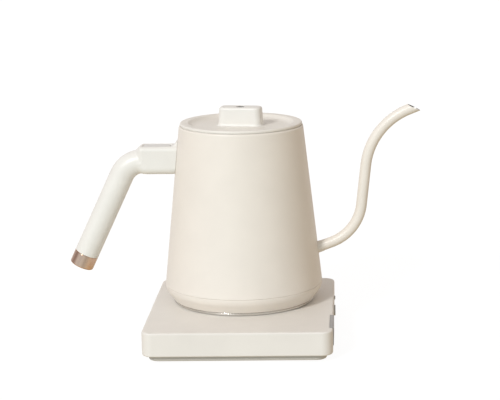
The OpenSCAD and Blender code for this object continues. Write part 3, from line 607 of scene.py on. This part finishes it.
rings = [on_body(arm_ring(ARM_START, shrink), offset)
         for shrink, offset in ((0.8, 0.05), (0.35, 0.12), (0.08, 0.4), (0, 0.9))]
rings += [[(min(px, q[0] - 0.2), py, pz) for (px, py, pz), q in zip(arm_ring(x), rings[3])]
          for x in (-56, -56.75)]
rings += [arm_ring(-57.5 - 0.5 * i) for i in range(38)]
rings += [bend_ring(BEND_FROM + 0.4 * i) for i in range(37)]
rings += [bend_ring(10.4 + (BEND_LEN - 10.4) * i / 14) for i in range(1, 15)]
rings += [grip_ring(s) for s in (20, 40, 60, JOIN - 0.4)]
rings += [grip_ring(JOIN - 0.15, 0.1), grip_ring(JOIN - 0.05, 0.3)]
add("handle", loft(rings), HANDLE, "kettle", "handle_shell", at=KETTLE, sharp=40)

levels = [[(x + PAD_X, y, ARM_TOP + z) for x, y, z in round_rect(w, d, r, z)] for w, d, r, z in (
    (22.4, 13.4, 3.8, -1.55), (22.4, 13.4, 3.8, -0.5), (22.2, 13.2, 3.7, -0.25), (21.6, 12.6, 3.4, -0.15))]
add("thumb_rest", loft(levels), THUMB, "kettle", "thumb_inlay", at=KETTLE)

GROOVE_R = GRIP_R - 0.45  # of the thin shadow line between the grip and its cap
cap = rounded([(0.2, 0.05, 0), (GROOVE_R, 0.05, 0), (GROOVE_R, 0.35, 0), (GRIP_R, 0.35, 0.15),
               (GRIP_R, CAP_LEN, 1.35), (7.2, CAP_LEN, 0.3), (6.8, CAP_LEN - 0.35, 0.3),
               (0.2, CAP_LEN - 0.35, 0)], steps=6)
add("end_cap", disc(cap, n=128), COPPER, "kettle", "handle_end_cap",
    at=tuple(Vector(KETTLE) + GRIP_START + DOWN * JOIN), turn=Matrix.Rotation(pi + GRIP, 4, "Y"))


# ---- lid ----

LID_R, LID_LOW, LIP, DISH, VENT_R = 49.7, 144.5, 149.7, 146.8, 3.7
COVE_R, COVE_W, COVE_H, LIP_ROUND = 33, 10, 2.65, 1.4
cove = [(COVE_R + COVE_W * k / 12, DISH + COVE_H * (k / 12) ** 4) for k in range(13)]
lip = [(43.7, DISH + 2.82), (44.6, LIP - 0.02), (47.2, LIP)]
lip += [(48.8 + LIP_ROUND * sin(a), LIP - LIP_ROUND * (1 - cos(a))) for a in quarter(10)]
lip += [(50.2, 147.8), (50.05, 147.5), (LID_R, 147.35), (LID_R, LID_LOW + 0.3), (LID_R - 0.3, LID_LOW)]
lid = [(VENT_R, 145), (VENT_R, DISH)] + cove + lip + [(46.5, LID_LOW), (46.5, 145)]
add("lid_dish", lathe(lid, n=256), LID, "lid", "lid_top", at=KETTLE)

KNOB_TOP, KNOB_N = DISH + 15.3, 192
KNOB_TURN = Matrix.Rotation(radians(-7.5), 4, "Z")


def knob_ring(w, d, r, z):
    return [(reach(w, d, r, a) * cos(a), reach(w, d, r, a) * sin(a), z) for a in turns(KNOB_N)]


knob = [circle(VENT_R, DISH + 0.02, KNOB_N)]
for a in quarter(8):  # the foot flares out to the dish
    flare = 3 * (1 - sin(a))
    knob.append(knob_ring(36 + flare, 16.4 + flare, 5.4, DISH + 0.02 + 2.2 * (1 - cos(a))))
for a in quarter(8):  # the top edge turns in
    draw = 1 - cos(a)
    knob.append(knob_ring(34.8 - 4 * draw, 15.6 - 4 * draw, 5 - 1.6 * draw, KNOB_TOP - 2.1 * (1 - sin(a))))
knob += [circle(r, KNOB_TOP - z, KNOB_N)
         for r, z in ((4.6, 0), (4.2, 0.06), (3.9, 0.25), (3.72, 0.6), (VENT_R, 1.0))]
add("knob", loft(knob, closed=True), HANDLE, "lid", "lid_knob", at=KETTLE,
    turn=KNOB_TURN, sharp=40)

# The liner's steel is darkened to paint the shade inside the knob's vent hole.
LINER_R, LINER_IN, LINER_LOW = 3.68, 3.25, 128.5
liner = [(LINER_R, LINER_LOW), (LINER_R, KNOB_TOP - 0.5), (3.5, KNOB_TOP - 0.35),
         (LINER_IN, KNOB_TOP - 0.5), (LINER_IN, LINER_LOW)]
add("vent_liner", lathe(liner, n=64), STEEL_WITH_PAINTED_SHADE, "lid", "vent_tube", at=KETTLE)

# The cup's wall has two ribs that hold the gasket between them.
CUP_R, CUP_LOW, RIB_R = 44.5, 128, 45.6
cup = [(VENT_R, CUP_LOW, 0), (CUP_R, CUP_LOW, 1.5)]
for z in (138.2, 141.6):
    cup += [(CUP_R, z, 0.1), (RIB_R, z, 0.2), (RIB_R, z + 0.7, 0.2), (CUP_R, z + 0.7, 0.1)]
cup += [(CUP_R, 145, 0), (CUP_R - 1, 145, 0), (CUP_R - 1, CUP_LOW + 1, 0.8), (VENT_R, CUP_LOW + 1, 0)]
steam_holes = [tube_mesh(1.2, (14 * cos(a), 14 * sin(a), CUP_LOW - 2), UP, 5, n=24) for a in turns(6)]
add("lid_insert", lathe(rounded(cup, steps=4), n=160), STEEL, "lid", "lid_cup", at=KETTLE,
    cuts=steam_holes)

gasket = rounded([(44.6, 139.0, 0.2), (45.8, 139.0, 0.3), (46.2, 139.7, 0.3), (46.2, 140.8, 0.3),
                  (45.8, 141.5, 0.3), (44.6, 141.5, 0.2)], steps=4)
add("seal", lathe(gasket, n=160), SILICONE, "lid_seal", "lid_gasket", at=KETTLE)


# ---- CAD pieces that keep their own shape ----

KEPT = {
    STEEL: ("base_screws", "neck_ring", "bottom_plate", "heating_element", "temperature_probe",
            "underside_screws", "handle_bracket", "handle_screws", "lid_screws"),
    BRASS: ("base_contacts", "kettle_contacts"),
    BOARD: ("control_board",),
    PARTS: ("board_components",),
    TERMINAL: ("terminal_block",),
    DARK: ("display_module", "button_switch", "hold_switch", "thermal_cutout"),
    CONNECTOR: ("kettle_connector",),
    SILICONE: ("seam_seal", "probe_seal"),
    ALUMINIUM: ("heat_spreader", "handle_core"),
    INNER: ("underside_cover",),
}
for material, names in KEPT.items():
    for name in names:
        data = nodes[name].data
        data.materials.clear()
        data.materials.append(material)


# ---- floor, light and camera ----

def stage_material():
    """A pale floor that takes a soft shadow and stays as bright as the background."""
    material = bpy.data.materials.new("studio_floor")
    material.use_nodes = True
    shader = material.node_tree.nodes["Principled BSDF"]
    shader.inputs["Base Color"].default_value = (0.12, 0.12, 0.12, 1)
    shader.inputs["Roughness"].default_value = 0.8
    shader.inputs["Specular IOR Level"].default_value = 0.1
    shader.inputs["Emission Color"].default_value = (1, 1, 1, 1)
    shader.inputs["Emission Strength"].default_value = 0.92
    return material


FLOOR_HALF = 9  # metres
data = bpy.data.meshes.new("studio_floor")
data.from_pydata([(x * FLOOR_HALF, y * FLOOR_HALF, 0) for x, y in ((-1, -1), (1, -1), (1, 1), (-1, 1))],
                 [], [(0, 1, 2, 3)])
data.materials.append(stage_material())
floor = bpy.data.objects.new("studio_floor", data)
floor.visible_diffuse = False
floor.visible_glossy = False
scene.collection.objects.link(floor)

# The sky is an even warm light plus lobes that grow towards an axis: (axis, from, to, colour). The
# narrow Y lobe is the bright backdrop behind the kettle. BANDS are soft boxes, as levels across X.
SKY_EVEN = (0.28, 0.15, 0.04)
SKY_LOBES = (("X", 0, -1, (0, 0.065, 0.147)), ("Y", 0, -1, (0.372, 0.557, 0.685)),
             ("Y", 0, 1, (0.15, 0.23, 0.31)), ("Y", 0.68, 0.78, (0.4, 0.4, 0.4)),
             ("Z", 0, 1, (0.345, 0.382, 0.423)), ("Z", 0, -1, (0.341, 0.292, 0.144)))
BANDS = ((0, 0.9), (0.06, 1.4), (0.18, 1), (0.31, 1), (0.43, 0.9), (0.54, 0.65), (0.7, 0.8), (0.9, 1.25),
         (1, 0.85))
world = bpy.data.worlds.new("studio")
scene.world = world
world.use_nodes = True
tree = world.node_tree
place = tree.nodes.new("ShaderNodeTexCoord")
split = tree.nodes.new("ShaderNodeSeparateXYZ")
tree.links.new(place.outputs["Generated"], split.inputs["Vector"])
bands = tree.nodes.new("ShaderNodeValToRGB")
while len(bands.color_ramp.elements) < len(BANDS):
    bands.color_ramp.elements.new(0.5)
for element, (position, level) in zip(bands.color_ramp.elements, BANDS):
    element.position = position
    element.color = (level, level, level, 1)
across = tree.nodes.new("ShaderNodeMapRange")
across.inputs["From Min"].default_value = -1
across.inputs["From Max"].default_value = 1
tree.links.new(split.outputs["X"], across.inputs["Value"])
tree.links.new(across.outputs["Result"], bands.inputs["Fac"])
total = tree.nodes.new("ShaderNodeVectorMath")
total.inputs[0].default_value = SKY_EVEN
for axis, start, end, color in SKY_LOBES:
    lobe = tree.nodes.new("ShaderNodeMapRange")
    lobe.inputs["From Min"].default_value = start
    lobe.inputs["From Max"].default_value = end
    tree.links.new(split.outputs[axis], lobe.inputs["Value"])
    blend = tree.nodes.new("ShaderNodeVectorMath")
    blend.operation = "MULTIPLY_ADD"
    blend.inputs[1].default_value = color
    tree.links.new(lobe.outputs["Result"], blend.inputs[0])
    tree.links.new(total.outputs["Vector"], blend.inputs[2])
    total = blend
banded = tree.nodes.new("ShaderNodeVectorMath")
banded.operation = "MULTIPLY"
tree.links.new(total.outputs["Vector"], banded.inputs[0])
tree.links.new(bands.outputs["Color"], banded.inputs[1])
tree.links.new(banded.outputs["Vector"], tree.nodes["Background"].inputs["Color"])

key = bpy.data.lights.new("key", "SUN")
key.energy = 1.7
key.angle = radians(10)
lamp = bpy.data.objects.new("key", key)
lamp.rotation_euler = Vector((-0.42, -0.73, 0.53)).to_track_quat("Z", "Y").to_euler()
scene.collection.objects.link(lamp)

lens = bpy.data.cameras.new("camera")
lens.lens = 117.84
lens.sensor_width = 36
lens.shift_x = -0.2
camera = bpy.data.objects.new("camera", lens)
camera.location = (0.0888, -1.3098, 0.3857)
camera.rotation_euler = (radians(78.213), radians(0.431), radians(-0.107))
scene.collection.objects.link(camera)
scene.camera = camera
scene.view_settings.view_transform = "Standard"
